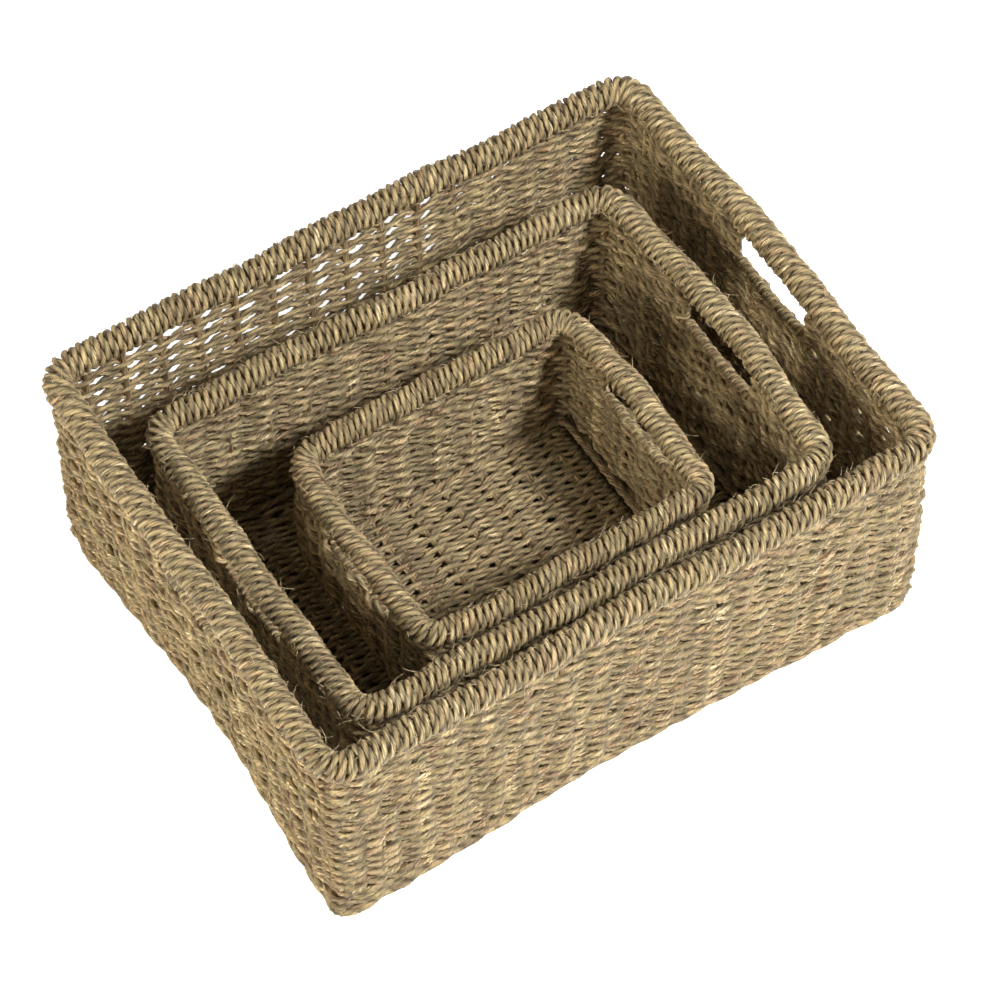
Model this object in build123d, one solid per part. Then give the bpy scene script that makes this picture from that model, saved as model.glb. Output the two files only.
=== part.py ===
from build123d import *
import os
from dataclasses import dataclass
from math import sqrt

# A nested set of three rectangular seagrass baskets, each one loose inside the next.
# Millimetres. +X runs along the long sides, +Y to the back, +Z up. The origin is the
# middle of the large basket's underside. A basket is a wire frame (rim hoop, base hoop,
# four corner posts), seagrass warps and stakes, woven walls and base, a wound rim, and
# a hand slot with a bound lower edge right under the rim at each short end.

# ------------------------------------------------------------- sizes of the large basket
large_length = 481.0         # over the wound rim
large_width = 381.0          # over the wound rim
large_height = 205.5         # from the underside to the top of the rim
large_rim_diameter = 21.0
large_corner_radius = 18.0   # centre line of the rim, in plan
large_slot_height = 31.0     # clear height under the rim

# --------------------------------------- the medium basket, set by its room in the large
medium_end_gap = 27.5        # rim to rim, at each short end, when centred
medium_side_gap = 27.0       # rim to rim, at each long side, when centred
medium_rim_drop = 28.5       # its rim centre line is this far below the large one's
medium_rim_diameter = 20.0
medium_corner_radius = 17.0
medium_slot_height = 30.0
medium_shift_x = -4.0        # how far it lies off the large basket's middle
medium_shift_y = -8.0

# --------------------------------------- the small basket, set by its room in the medium
small_end_gap = 53.0
small_side_gap = 27.5
small_rim_drop = 25.5
small_rim_diameter = 19.0
small_corner_radius = 16.0
small_slot_height = 23.0
small_shift_x = 2.5          # how far it lies off the medium basket's middle
small_shift_y = -10.5

# ------------------------------------------------------------- sizes all three share
wall_thickness = 11.0        # two weft cords with a stake between them
base_thickness = 10.0
bottom_edge_radius = 4.0     # rounding where the wall turns under
rim_wire = 5.0               # steel hoop inside the wound rim
base_wire = 4.0              # steel hoop in the bottom corner of the wall
post_wire = 4.0              # steel corner posts between the two hoops
stake_diameter = 3.5         # seagrass warps and stakes
stake_spacing = 30.0
stake_margin = 8.0           # from the end of a straight wall to its first stake
stake_clearance = 0.4        # from a warp or stake to the base hoop or a slot's binding
slot_length = 68.0
slot_stake_margin = 8.0      # from the end of a slot to the stake beside it
binding_diameter = 12.0      # bound lower edge of a slot, thicker than the wall
binding_tuck = 4.0           # how far it runs into the wall at each end
seam_cord = 5.0              # braid laid along the inside seam of base and wall
seam_gap = 0.2
nest_clearance = 0.3         # under a nested basket


@dataclass
class Basket:
    """One basket's own sizes and where its underside's middle lies."""
    name: str
    length: float            # of the rim's centre line
    width: float             # of the rim's centre line
    rim_height: float        # of the rim's centre line, above the underside
    rim_diameter: float
    corner_radius: float
    slot_height: float
    x: float
    y: float
    z: float

    @property
    def wall_top(self):
        """Where the wall's two faces meet the round of the rim."""
        radius = self.rim_diameter / 2
        return self.rim_height - sqrt(radius**2 - (wall_thickness / 2) ** 2)

    @property
    def binding_height(self):
        return self.rim_height - self.rim_diameter / 2 - self.slot_height - binding_diameter / 2


def nested_basket(name, outer, end_gap, side_gap, rim_drop, rim_diameter, corner_radius,
                  slot_height, shift_x, shift_y):
    """A basket that stands on the outer one's base, with the given room round its rim."""
    rims = outer.rim_diameter / 2 + rim_diameter / 2
    underside = outer.z + base_thickness + nest_clearance
    return Basket(
        name,
        outer.length - 2 * (end_gap + rims),
        outer.width - 2 * (side_gap + rims),
        outer.z + outer.rim_height - rim_drop - underside,
        rim_diameter,
        corner_radius,
        slot_height,
        outer.x + shift_x,
        outer.y + shift_y,
        underside,
    )


# ------------------------------------------------------------- shapes used by every basket
def plan_outline(basket, offset):
    """The basket's plan, its rim centre line moved outwards by the offset."""
    return RectangleRounded(
        basket.length + 2 * offset,
        basket.width + 2 * offset,
        basket.corner_radius + offset,
    )


def ring(basket, offset, height, diameter):
    """A round bar that follows the plan at one height."""
    path = (Pos(0, 0, height) * plan_outline(basket, offset)).face().outer_wire()
    section = Plane(origin=path @ 0, z_dir=path % 0) * Circle(diameter / 2)
    return sweep(section, path)


def rod(start, end, diameter):
    """A straight round bar between two points."""
    axis = Vector(*end) - Vector(*start)
    return extrude(Plane(origin=start, z_dir=axis) * Circle(diameter / 2), axis.length)


def spread(low, high, spacing):
    """Places from low to high, both included, as near the spacing as evenly fits."""
    gaps = max(1, round((high - low) / spacing))
    return [low + (high - low) * i / gaps for i in range(gaps + 1)]


def bar_group(bars):
    """Several separate bars as one group."""
    return Compound([bar.solid() for bar in bars])


# ------------------------------------------------------------- steel frame
def corner_posts(basket, foot, head):
    """Four upright wires at the middle of the corner bends, named by corner."""
    bend = basket.corner_radius * (1 - 1 / sqrt(2))
    x = basket.length / 2 - bend
    y = basket.width / 2 - bend
    return {
        f"{side}_{end}_post": rod((sx * x, sy * y, foot), (sx * x, sy * y, head), post_wire)
        for side, sy in (("front", -1), ("back", 1))
        for end, sx in (("left", -1), ("right", 1))
    }


# ------------------------------------------------------------- seagrass warps and stakes
def base_warp(basket, x):
    """One cord up the back wall, under the base and up the front wall."""
    clear = base_wire / 2 + stake_diameter / 2 + stake_clearance
    bend = clear / (sqrt(2) - 1)
    half = basket.width / 2
    low = base_thickness / 2
    top = basket.wall_top
    points = [(x, -half, top), (x, -half, low), (x, half, low), (x, half, top)]
    path = FilletPolyline(*points, radius=bend)
    section = Plane(origin=path @ 0, z_dir=path % 0) * Circle(stake_diameter / 2)
    return sweep(section, path)


def base_warps(basket):
    reach = basket.length / 2 - basket.corner_radius - stake_margin
    return [base_warp(basket, x) for x in spread(-reach, reach, stake_spacing)]


def end_stakes(basket):
    """Upright cords in both end walls, short ones below the slots."""
    beside_slot = slot_length / 2 + slot_stake_margin
    reach = basket.width / 2 - basket.corner_radius - stake_margin
    outer = [beside_slot]
    if reach > beside_slot + 2 * stake_diameter:
        outer = spread(beside_slot, reach, stake_spacing)
    below_slot = basket.binding_height - binding_diameter / 2 - stake_clearance
    places = [(y, below_slot) for y in spread(-beside_slot, beside_slot, stake_spacing)[1:-1]]
    places += [(side * y, basket.wall_top) for side in (-1, 1) for y in outer]
    foot = base_thickness / 2 + base_wire / 2 + stake_clearance
    return [
        rod((x, y, foot), (x, y, top), stake_diameter)
        for x in (-basket.length / 2, basket.length / 2)
        for y, top in places
    ]


# ------------------------------------------------------------- woven panels
def wall_band(basket):
    """The whole woven wall, before it is divided at the corner posts."""
    outer = extrude(plan_outline(basket, wall_thickness / 2), basket.wall_top)
    outer = fillet(outer.faces().sort_by(Axis.Z)[0].edges(), bottom_edge_radius)
    return outer - extrude(plan_outline(basket, -wall_thickness / 2), basket.wall_top)


def wall_shares(basket):
    """Each wall's share of the band, which mitres through the corner bends."""
    x = basket.length / 2 - basket.corner_radius
    y = basket.width / 2 - basket.corner_radius
    out = basket.corner_radius + wall_thickness
    corners = {"front": (-1, -1), "right": (1, -1), "back": (1, 1), "left": (-1, 1)}
    turns = list(corners.values())
    shares = {}
    for i, side in enumerate(corners):
        (ax, ay), (bx, by) = turns[i], turns[(i + 1) % 4]
        shape = Polyline(
            (ax * x, ay * y),
            (ax * (x + out), ay * (y + out)),
            (bx * (x + out), by * (y + out)),
            (bx * x, by * y),
            close=True,
        )
        shares[side] = extrude(make_face(shape), basket.rim_height)
    return shares


def slot_cutter(basket, end):
    """The hand slot at one end, open at the top, where the rim closes it."""
    height = basket.rim_height - basket.binding_height
    centre = (end * basket.length / 2, 0, basket.binding_height + height / 2)
    return Pos(*centre) * Box(2 * wall_thickness, slot_length, height)


def walls(basket, holes):
    """Front, right, back and left walls, cut for the frame and the cords in them."""
    band = wall_band(basket) - ring(basket, 0, base_thickness / 2, base_wire)
    panels = {side: band & share for side, share in wall_shares(basket).items()}
    panels["left"] -= slot_cutter(basket, -1)
    panels["right"] -= slot_cutter(basket, 1)
    cut_walls = {}
    for side, panel in panels.items():
        space = panel.bounding_box()
        cut_walls[f"{side}_wall"] = panel - [h for h in holes if space.overlaps(h.bounding_box())]
    return cut_walls


def base_panel(basket):
    return extrude(plan_outline(basket, -wall_thickness / 2), base_thickness)


# ------------------------------------------------------------- cord trims and the rim
def slot_bindings(basket):
    """The bound lower edge of each slot."""
    half = slot_length / 2 + binding_tuck
    z = basket.binding_height
    bindings = {}
    for side, end in (("left", -1), ("right", 1)):
        x = end * basket.length / 2
        bindings[f"{side}_slot_binding"] = rod((x, -half, z), (x, half, z), binding_diameter)
    return bindings


def seam_braid(basket):
    """The braid in the inside corner between the base and the walls."""
    inset = wall_thickness / 2 + seam_gap + seam_cord / 2
    return ring(basket, -inset, base_thickness + seam_gap + seam_cord / 2, seam_cord)


def rim_winding(basket):
    """The wound rim round its hoop, flat below where it sits on the wall."""
    path = (Pos(0, 0, basket.rim_height) * plan_outline(basket, 0)).face().outer_wire()
    winding = Circle(basket.rim_diameter / 2) - Circle(rim_wire / 2)
    rim = sweep(Plane(origin=path @ 0, z_dir=path % 0) * winding, path)
    size = 2 * (basket.length + basket.width)
    below = Pos(0, 0, basket.wall_top - basket.rim_diameter) * Box(
        size, size, 2 * basket.rim_diameter
    )
    return rim - below


# ------------------------------------------------------------- one whole basket
def basket_pieces(basket):
    base_hoop_height = base_thickness / 2
    post_foot = base_hoop_height + base_wire / 2
    post_head = basket.rim_height - rim_wire / 2
    post_holes = corner_posts(basket, base_hoop_height, basket.rim_height)
    bindings = slot_bindings(basket)
    warps = base_warps(basket)
    stakes = end_stakes(basket)
    holes = [*post_holes.values(), *warps, *stakes, *bindings.values()]
    return {
        "rim_hoop": ring(basket, 0, basket.rim_height, rim_wire),
        "base_hoop": ring(basket, 0, base_hoop_height, base_wire),
        **corner_posts(basket, post_foot, post_head),
        "base_warps": bar_group(warps),
        "end_stakes": bar_group(stakes),
        **walls(basket, holes),
        "base_weave": base_panel(basket) - warps,
        "seam_braid": seam_braid(basket),
        **bindings,
        "rim_winding": rim_winding(basket) - list(post_holes.values()),
    }


large = Basket(
    "large",
    large_length - large_rim_diameter,
    large_width - large_rim_diameter,
    large_height - large_rim_diameter / 2,
    large_rim_diameter,
    large_corner_radius,
    large_slot_height,
    0.0,
    0.0,
    0.0,
)
medium = nested_basket(
    "medium", large, medium_end_gap, medium_side_gap, medium_rim_drop, medium_rim_diameter,
    medium_corner_radius, medium_slot_height, medium_shift_x, medium_shift_y,
)
small = nested_basket(
    "small", medium, small_end_gap, small_side_gap, small_rim_drop, small_rim_diameter,
    small_corner_radius, small_slot_height, small_shift_x, small_shift_y,
)

os.makedirs("parts", exist_ok=True)
for basket in (large, medium, small):
    place = Pos(basket.x, basket.y, basket.z)
    for name, piece in basket_pieces(basket).items():
        export_step(place * piece, f"parts/{basket.name}_{name}.step")
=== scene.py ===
import math
from collections import namedtuple

import bpy
import numpy as np
from bpy.props import FloatProperty, FloatVectorProperty, IntProperty, PointerProperty
from mathutils import Matrix, Vector


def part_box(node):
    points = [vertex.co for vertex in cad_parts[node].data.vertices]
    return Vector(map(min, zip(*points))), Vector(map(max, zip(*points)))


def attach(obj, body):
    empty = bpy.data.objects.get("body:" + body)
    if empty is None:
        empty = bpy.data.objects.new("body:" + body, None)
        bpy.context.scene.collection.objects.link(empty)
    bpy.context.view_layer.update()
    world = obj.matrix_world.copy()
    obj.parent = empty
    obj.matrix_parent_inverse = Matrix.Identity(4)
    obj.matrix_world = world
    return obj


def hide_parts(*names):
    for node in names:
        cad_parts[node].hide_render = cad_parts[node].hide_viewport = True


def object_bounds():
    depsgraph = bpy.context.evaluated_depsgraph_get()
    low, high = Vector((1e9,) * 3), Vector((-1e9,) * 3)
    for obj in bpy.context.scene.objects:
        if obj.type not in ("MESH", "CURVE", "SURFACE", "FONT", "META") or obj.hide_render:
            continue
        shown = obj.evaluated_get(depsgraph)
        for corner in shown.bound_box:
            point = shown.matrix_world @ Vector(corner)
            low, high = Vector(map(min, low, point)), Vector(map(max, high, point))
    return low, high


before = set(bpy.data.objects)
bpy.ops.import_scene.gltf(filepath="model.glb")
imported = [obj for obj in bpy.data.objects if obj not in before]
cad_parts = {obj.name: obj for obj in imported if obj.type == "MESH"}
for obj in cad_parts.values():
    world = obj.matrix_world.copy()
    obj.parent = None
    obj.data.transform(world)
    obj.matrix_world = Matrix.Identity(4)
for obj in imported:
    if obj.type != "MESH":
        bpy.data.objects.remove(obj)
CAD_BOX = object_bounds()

bl_info = {
    "name": "Nested seagrass baskets",
    "version": (1, 0, 0),
    "blender": (4, 5, 0),
    "location": "3D View > Sidebar > Baskets",
    "description": "Winds and twines a nested set of seagrass baskets on their wire frames",
    "category": "Object",
}

BASKETS = ("large", "medium", "small")
TAU = 2 * math.pi
UP = [0.0, 0.0, 1.0]

# Lengths are in metres, and shares are of the length or diameter that the comment names
UV_UNIT = 0.01               # one unit of a cord's U is this much cord
BINDING_TUCK = 0.004         # how far a slot's binding runs into the wall at each end
PACKED_STAKE_RADIUS = 0.00175
STAKE_BESIDE_SLOT = 0.008    # from a slot's end to the stake beside it
LEAST_STAKE_GAP = 0.005      # no further stake goes in a shorter stretch of end wall

PLY_SHARPNESS = 2.6          # power that cuts the groove between a cord's two plies
TONE_STEPS = (0.022, 0.017)  # cord over which the tone of each ply changes
LIGHT_STEPS = (0.009, 0.013)  # cord over which the lightness of each ply changes
CORD_TONE = 0.22             # how far whole cords differ in tone

WOUND_TWIST = 1.25           # the winding cord is twisted this much harder than the weft
TURN_WOBBLE, RUN_WOBBLE, TURN_LEAN = 0.12, 0.22, 0.16   # shares of a turn
TURN_UNEVEN = 0.00035        # how far one turn of the winding stands out past another
WOUND_FULLNESS, WOUND_SWELL = 1.12, 0.12                # shares of the winding cord
TURN_SECTIONS = {"large": 36, "medium": 34, "small": 34}
RIM_SWAY = 0.0007            # how far the rims sway out of line

CORD_STEP = 0.0031           # from one section of a twined cord to the next
ROW_END_BESIDE_SLOT = 0.0085
SWING_CLEARANCE = 0.0006     # cords stay this much inside the packed wall's thickness
STITCH_SHIFT = 0.28          # of a stitch, how far a whole row is shifted
STITCH_DRIFT = 0.20          # of a stitch, how far it wanders along a row
BELLY = 0.0012               # how far the walls swell out at half height
WEFT_FULLNESS = 1.12         # of the weft cord, pressed together between its neighbours
BASE_PITCH = 0.93            # of the row pitch, as the base is beaten tighter
STAKE_RADIUS = 0.0023
SLEEVE_RADIUS = 0.0030       # of the cord round each corner post
BASE_HOOP_SHARE, BASE_HOOP_DROP, BASE_HOOP_INSET = 0.7, 0.0008, 0.0006
POST_SHARE = 0.8             # of the packed post's radius
STAKE_BEND = 0.010           # radius in which a warp turns up into the wall

# A twined row's swing, rise, drop and swell as shares, and the groove between its plies
RowForm = namedtuple("RowForm", "swing rise drop swell groove")
FIRST_ROW = RowForm(swing=0.45, rise=0.18, drop=0.30, swell=0.15, groove=0.85)
UPPER_ROW = RowForm(swing=1.0, rise=0.49, drop=0.0, swell=0.52, groove=0.5)

# The open patches in the large basket: where the back wall's has its middle and how wide
# it is, as shares of the half length, and the same in metres for the one by the right slot
BACK_PATCH = (0.30, 0.80)
SLOT_PATCH = (-0.09, 0.06)
PATCH_FOOT = 0.35            # share of the wall's height at which the weave starts to open

# Each light's name, place, size, power and colour
LIGHTS = (
    ("key light", (0.95, -1.45, 2.3), 0.5, 88.0, (0.95, 0.975, 1.04)),
    ("left fill", (-2.6, -0.3, 1.4), 1.4, 52.0, (1.0, 0.95, 0.86)),
    ("top fill", (-0.2, 0.3, 2.8), 2.2, 3.0, (1.0, 0.95, 0.86)),
)
LIGHT_AIM_Z = 0.1
WORLD_COLOUR, WORLD_STRENGTH = (1.0, 0.94, 0.84, 1.0), 0.22
FLOOR_GLOW = 0.68
FLOOR_SIZE, FLOOR_GAP = 12.0, 0.0004
PAINTED_SHADOW_INSET = 0.018          # from the rim's middle in to the edge of the painted shadow on the floor under the large basket
CAMERA_AZIMUTH, CAMERA_ELEVATION, CAMERA_ROLL = -32.15, 56.58, -0.57   # degrees
CAMERA_DISTANCE, CAMERA_LENS, CAMERA_AIM = 2.745, 139.5, (0.0371, 0.0434)

# How far the middle of each side bows outwards, at the bottom edge and at the rim
BOWS = {
    "large": {"front": (-0.007, 0.001), "right": (-0.004, 0.004),
              "back": (-0.004, 0.001), "left": (-0.009, -0.001)},
    "medium": {"front": (-0.004, 0.002), "right": (-0.001, 0.009),
               "back": (-0.003, 0.000), "left": (-0.004, 0.000)},
    "small": {"front": (-0.002, 0.001), "right": (0.000, 0.004),
              "back": (-0.001, 0.001), "left": (-0.002, 0.001)},
}
ROUND_CORNER, SHARP_CORNER = 2.15, 4.2   # superellipse powers at the rim and at the bottom


# ------------------------------------------------------------- settings
class CordSettings(bpy.types.PropertyGroup):
    """Sizes of the cords and how closely they are laid."""

    weft_diameter: FloatProperty(
        name="Weft diameter", description="Twisted cord that the walls and bases are twined from",
        default=0.0056, min=0.002, max=0.012, unit="LENGTH")
    row_pitch: FloatProperty(
        name="Row pitch", description="From one twined row to the next",
        default=0.0104, min=0.005, max=0.02, unit="LENGTH")
    stake_spacing: FloatProperty(
        name="Stake spacing", description="From one upright stake to the next",
        default=0.030, min=0.01, max=0.06, unit="LENGTH")
    winding_diameter: FloatProperty(
        name="Winding cord", description="Cord wound round the rims and slot edges",
        default=0.0054, min=0.002, max=0.01, unit="LENGTH")
    winding_pitch: FloatProperty(
        name="Winding pitch", description="From one turn of the winding to the next",
        default=0.0053, min=0.002, max=0.01, unit="LENGTH")
    ply_pitch: FloatProperty(
        name="Ply pitch", description="Length in which the two plies of a cord turn once",
        default=0.028, min=0.005, max=0.05, unit="LENGTH")
    looseness: FloatProperty(
        name="Loose weave", description="How far the top rows of the large back wall open up",
        default=0.50, min=0.0, max=0.8, subtype="FACTOR")
    fibres: IntProperty(
        name="Stray fibres", description="Loose ends standing out from each basket",
        default=1500, min=0, max=4000)


class ColourSettings(bpy.types.PropertyGroup):
    """Colours of the grass, the wire and the floor."""

    pale: FloatVectorProperty(
        name="Pale straw", description="Bleached blades", subtype="COLOR",
        default=(0.78, 0.625, 0.368), size=3, min=0, max=1)
    straw: FloatVectorProperty(
        name="Straw", description="The main colour of dry seagrass", subtype="COLOR",
        default=(0.54, 0.392, 0.196), size=3, min=0, max=1)
    green: FloatVectorProperty(
        name="Green", description="Blades that kept some green", subtype="COLOR",
        default=(0.37, 0.298, 0.128), size=3, min=0, max=1)
    brown: FloatVectorProperty(
        name="Brown", description="Reddish brown blades", subtype="COLOR",
        default=(0.38, 0.215, 0.100), size=3, min=0, max=1)
    # Dark is the colour of stained blades and also the painted shade of the wound cores seen
    # between the turns
    dark: FloatVectorProperty(
        name="Dark", description="Stained and shaded blades", subtype="COLOR",
        default=(0.12, 0.078, 0.036), size=3, min=0, max=1)
    steel: FloatVectorProperty(
        name="Wire", description="Galvanised frame wire", subtype="COLOR",
        default=(0.34, 0.34, 0.34), size=3, min=0, max=1)
    floor: FloatVectorProperty(
        name="Floor", description="The pale floor", subtype="COLOR",
        default=(0.93, 0.93, 0.93), size=3, min=0, max=1)


# ------------------------------------------------------------- a basket, read from the frame
class BasketPlan:
    """One basket's sizes and places, all taken from its packed nodes."""

    def __init__(self, name):
        self.name = name
        self.body = f"{name}_basket"
        rim_low, rim_high = (np.array(c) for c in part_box(f"{name}_rim_winding"))
        hoop_low, hoop_high = (np.array(c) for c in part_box(f"{name}_rim_hoop"))
        base_low, base_high = (np.array(c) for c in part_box(f"{name}_base_weave"))
        post_low, post_high = (np.array(c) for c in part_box(f"{name}_back_right_post"))
        wall_high = np.array(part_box(f"{name}_back_wall")[1])
        self.centre = (rim_low + rim_high)[:2] / 2
        self.rim_z = (hoop_low[2] + hoop_high[2]) / 2
        self.rim_radius = rim_high[2] - self.rim_z
        self.half = rim_high[:2] - self.centre - self.rim_radius
        self.floor_z = base_low[2]
        self.base_top = base_high[2]
        self.wall_top = wall_high[2]
        self.wall = 2 * (self.half[0] - (base_high[0] - self.centre[0]))
        post = (post_low + post_high)[0] / 2 - self.centre[0]
        self.post_radius = (post_high - post_low)[0] / 2
        self.post_z = (post_low[2], post_high[2])
        self.corner = (self.half[0] - post) / (1 - 1 / math.sqrt(2))
        self.straight = self.half - self.corner
        self.quarter = math.pi / 2 * self.corner
        self.length = 4 * (self.straight.sum() + self.quarter)
        self.binding = {side: [np.array(c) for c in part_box(f"{name}_{side}_slot_binding")]
                        for side in ("left", "right")}
        low, high = self.binding["right"]
        self.binding_z = (low[2] + high[2]) / 2
        self.binding_radius = (high[2] - low[2]) / 2
        self.slot_half = (high[1] - low[1]) / 2 - BINDING_TUCK

    def run(self, along, offset=0.0, share=1.0):
        """Points and outward directions on the plan, from the middle of the front wall.

        The corners are rounder at the rim, where share is 1, than at the bottom edge.
        """
        sx, sy, q, r = *self.straight, self.quarter, self.corner
        s = np.mod(np.asarray(along, float), self.length)
        stops = np.cumsum([sx, q, 2 * sy, q, 2 * sx, q, 2 * sy, q])
        part = np.searchsorted(stops, s, side="right")
        start = np.concatenate([[0.0], stops])[part]
        t = s - start
        centre = np.array([[0, -sy], [sx, -sy], [sx, -sy], [sx, sy], [sx, sy], [-sx, sy],
                           [-sx, sy], [-sx, -sy], [-sx, -sy]])[part]
        turn = np.array([-90, -90, 0, 0, 90, 90, 180, 180, 270])[part] * math.pi / 180
        bend = np.isin(part, (1, 3, 5, 7))
        angle = turn + np.where(bend, t / r, 0.0)
        out = np.stack([np.cos(angle), np.sin(angle)], -1)
        ahead = np.stack([-out[:, 1], out[:, 0]], -1)
        power = ROUND_CORNER + (SHARP_CORNER - ROUND_CORNER) * (1 - share)
        turned = np.clip(np.where(bend, t / r, 0.0), 1e-6, math.pi / 2 - 1e-6)
        reach = (np.cos(turned) ** power + np.sin(turned) ** power) ** (-1 / power)
        offset = np.broadcast_to(offset, s.shape) + r * (reach - 1)
        point = centre + out * (r + offset)[:, None]
        point = point + ahead * np.where(bend, 0.0, t)[:, None] + self.centre
        return point, out

    def lean(self, points):
        """Bows the sides as a handmade basket's are, more or less with height."""
        bows = BOWS[self.name]
        share = np.clip((points[:, 2] - self.floor_z) / (self.rim_z - self.floor_z), 0, 1.05)
        x, y = ((points[:, :2] - self.centre) / self.half).T
        moved = points.copy()
        for side, across, along, axis, sign in (("right", x, y, 0, 1), ("left", -x, y, 0, -1),
                                                ("back", y, x, 1, 1), ("front", -y, x, 1, -1)):
            foot, head = bows[side]
            bow = foot + (head - foot) * share
            swell = np.cos(np.clip(along, -1, 1) * math.pi / 2) ** 2
            moved[:, axis] += sign * bow * swell * np.clip(across, 0, 1.1)
        return moved

    def where(self, side, place):
        """The distance along the plan of a place on one straight wall."""
        sx, sy, q = *self.straight, self.quarter
        if side == "front":
            return place % self.length
        if side == "right":
            return sx + q + sy + place
        if side == "back":
            return sx + 2 * q + 2 * sy + sx - place
        return 3 * sx + 3 * q + 3 * sy - place

    def stakes(self, spacing):
        """Places of the stakes in the long and the end walls, and all of them along the plan."""
        low, high = (np.array(c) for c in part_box(f"{self.name}_base_warps"))
        reach = (high[0] - low[0]) / 2 - PACKED_STAKE_RADIUS
        count = max(1, round(2 * reach / spacing))
        xs = np.linspace(-reach, reach, count + 1)
        low, high = (np.array(c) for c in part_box(f"{self.name}_end_stakes"))
        reach_y = (high[1] - low[1]) / 2 - PACKED_STAKE_RADIUS
        beside = self.slot_half + STAKE_BESIDE_SLOT
        inner = np.linspace(-beside, beside, max(1, round(2 * beside / spacing)) + 1)
        outer = np.array([])
        if reach_y > beside + LEAST_STAKE_GAP:
            count = max(1, round((reach_y - beside) / spacing))
            outer = np.linspace(beside, reach_y, count + 1)[1:]
        ys = np.sort(np.concatenate([inner, outer, -outer]))
        places = [self.where("front", x) for x in xs] + [self.where("back", x) for x in xs]
        places += [self.where("right", y) for y in ys] + [self.where("left", y) for y in ys]
        return xs, ys, np.sort(np.array(places + self.bends()) % self.length)

    def bends(self):
        """Distances along the plan of the middles of the four corners."""
        bends = [self.straight[0] + self.quarter / 2]
        bends.append(bends[0] + self.quarter + 2 * self.straight[1])
        bends.append(bends[1] + self.quarter + 2 * self.straight[0])
        bends.append(bends[2] + self.quarter + 2 * self.straight[1])
        return bends


# ------------------------------------------------------------- cords made into meshes
def drift(rng, along, step, loop=None):
    """A smooth random value along a cord, about -1 to 1, with one knot every step.

    A closed cord's value comes back to its first one after the length in loop.
    """
    x = (along - along.min()) / step
    knots = rng.uniform(-1, 1, int(x.max()) + 3)
    if loop:    # its own knots, drawn after those that an open cord would use
        count = max(3, round(loop / step))
        x = (along - along.min()) / loop * count
        knots = rng.uniform(-1, 1, count)
        knots = np.tile(knots, int(x.max() / count) + 2)
    i = x.astype(int)
    f = x - i
    f = f * f * (3 - 2 * f)
    return knots[i] * (1 - f) + knots[i + 1] * f


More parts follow.
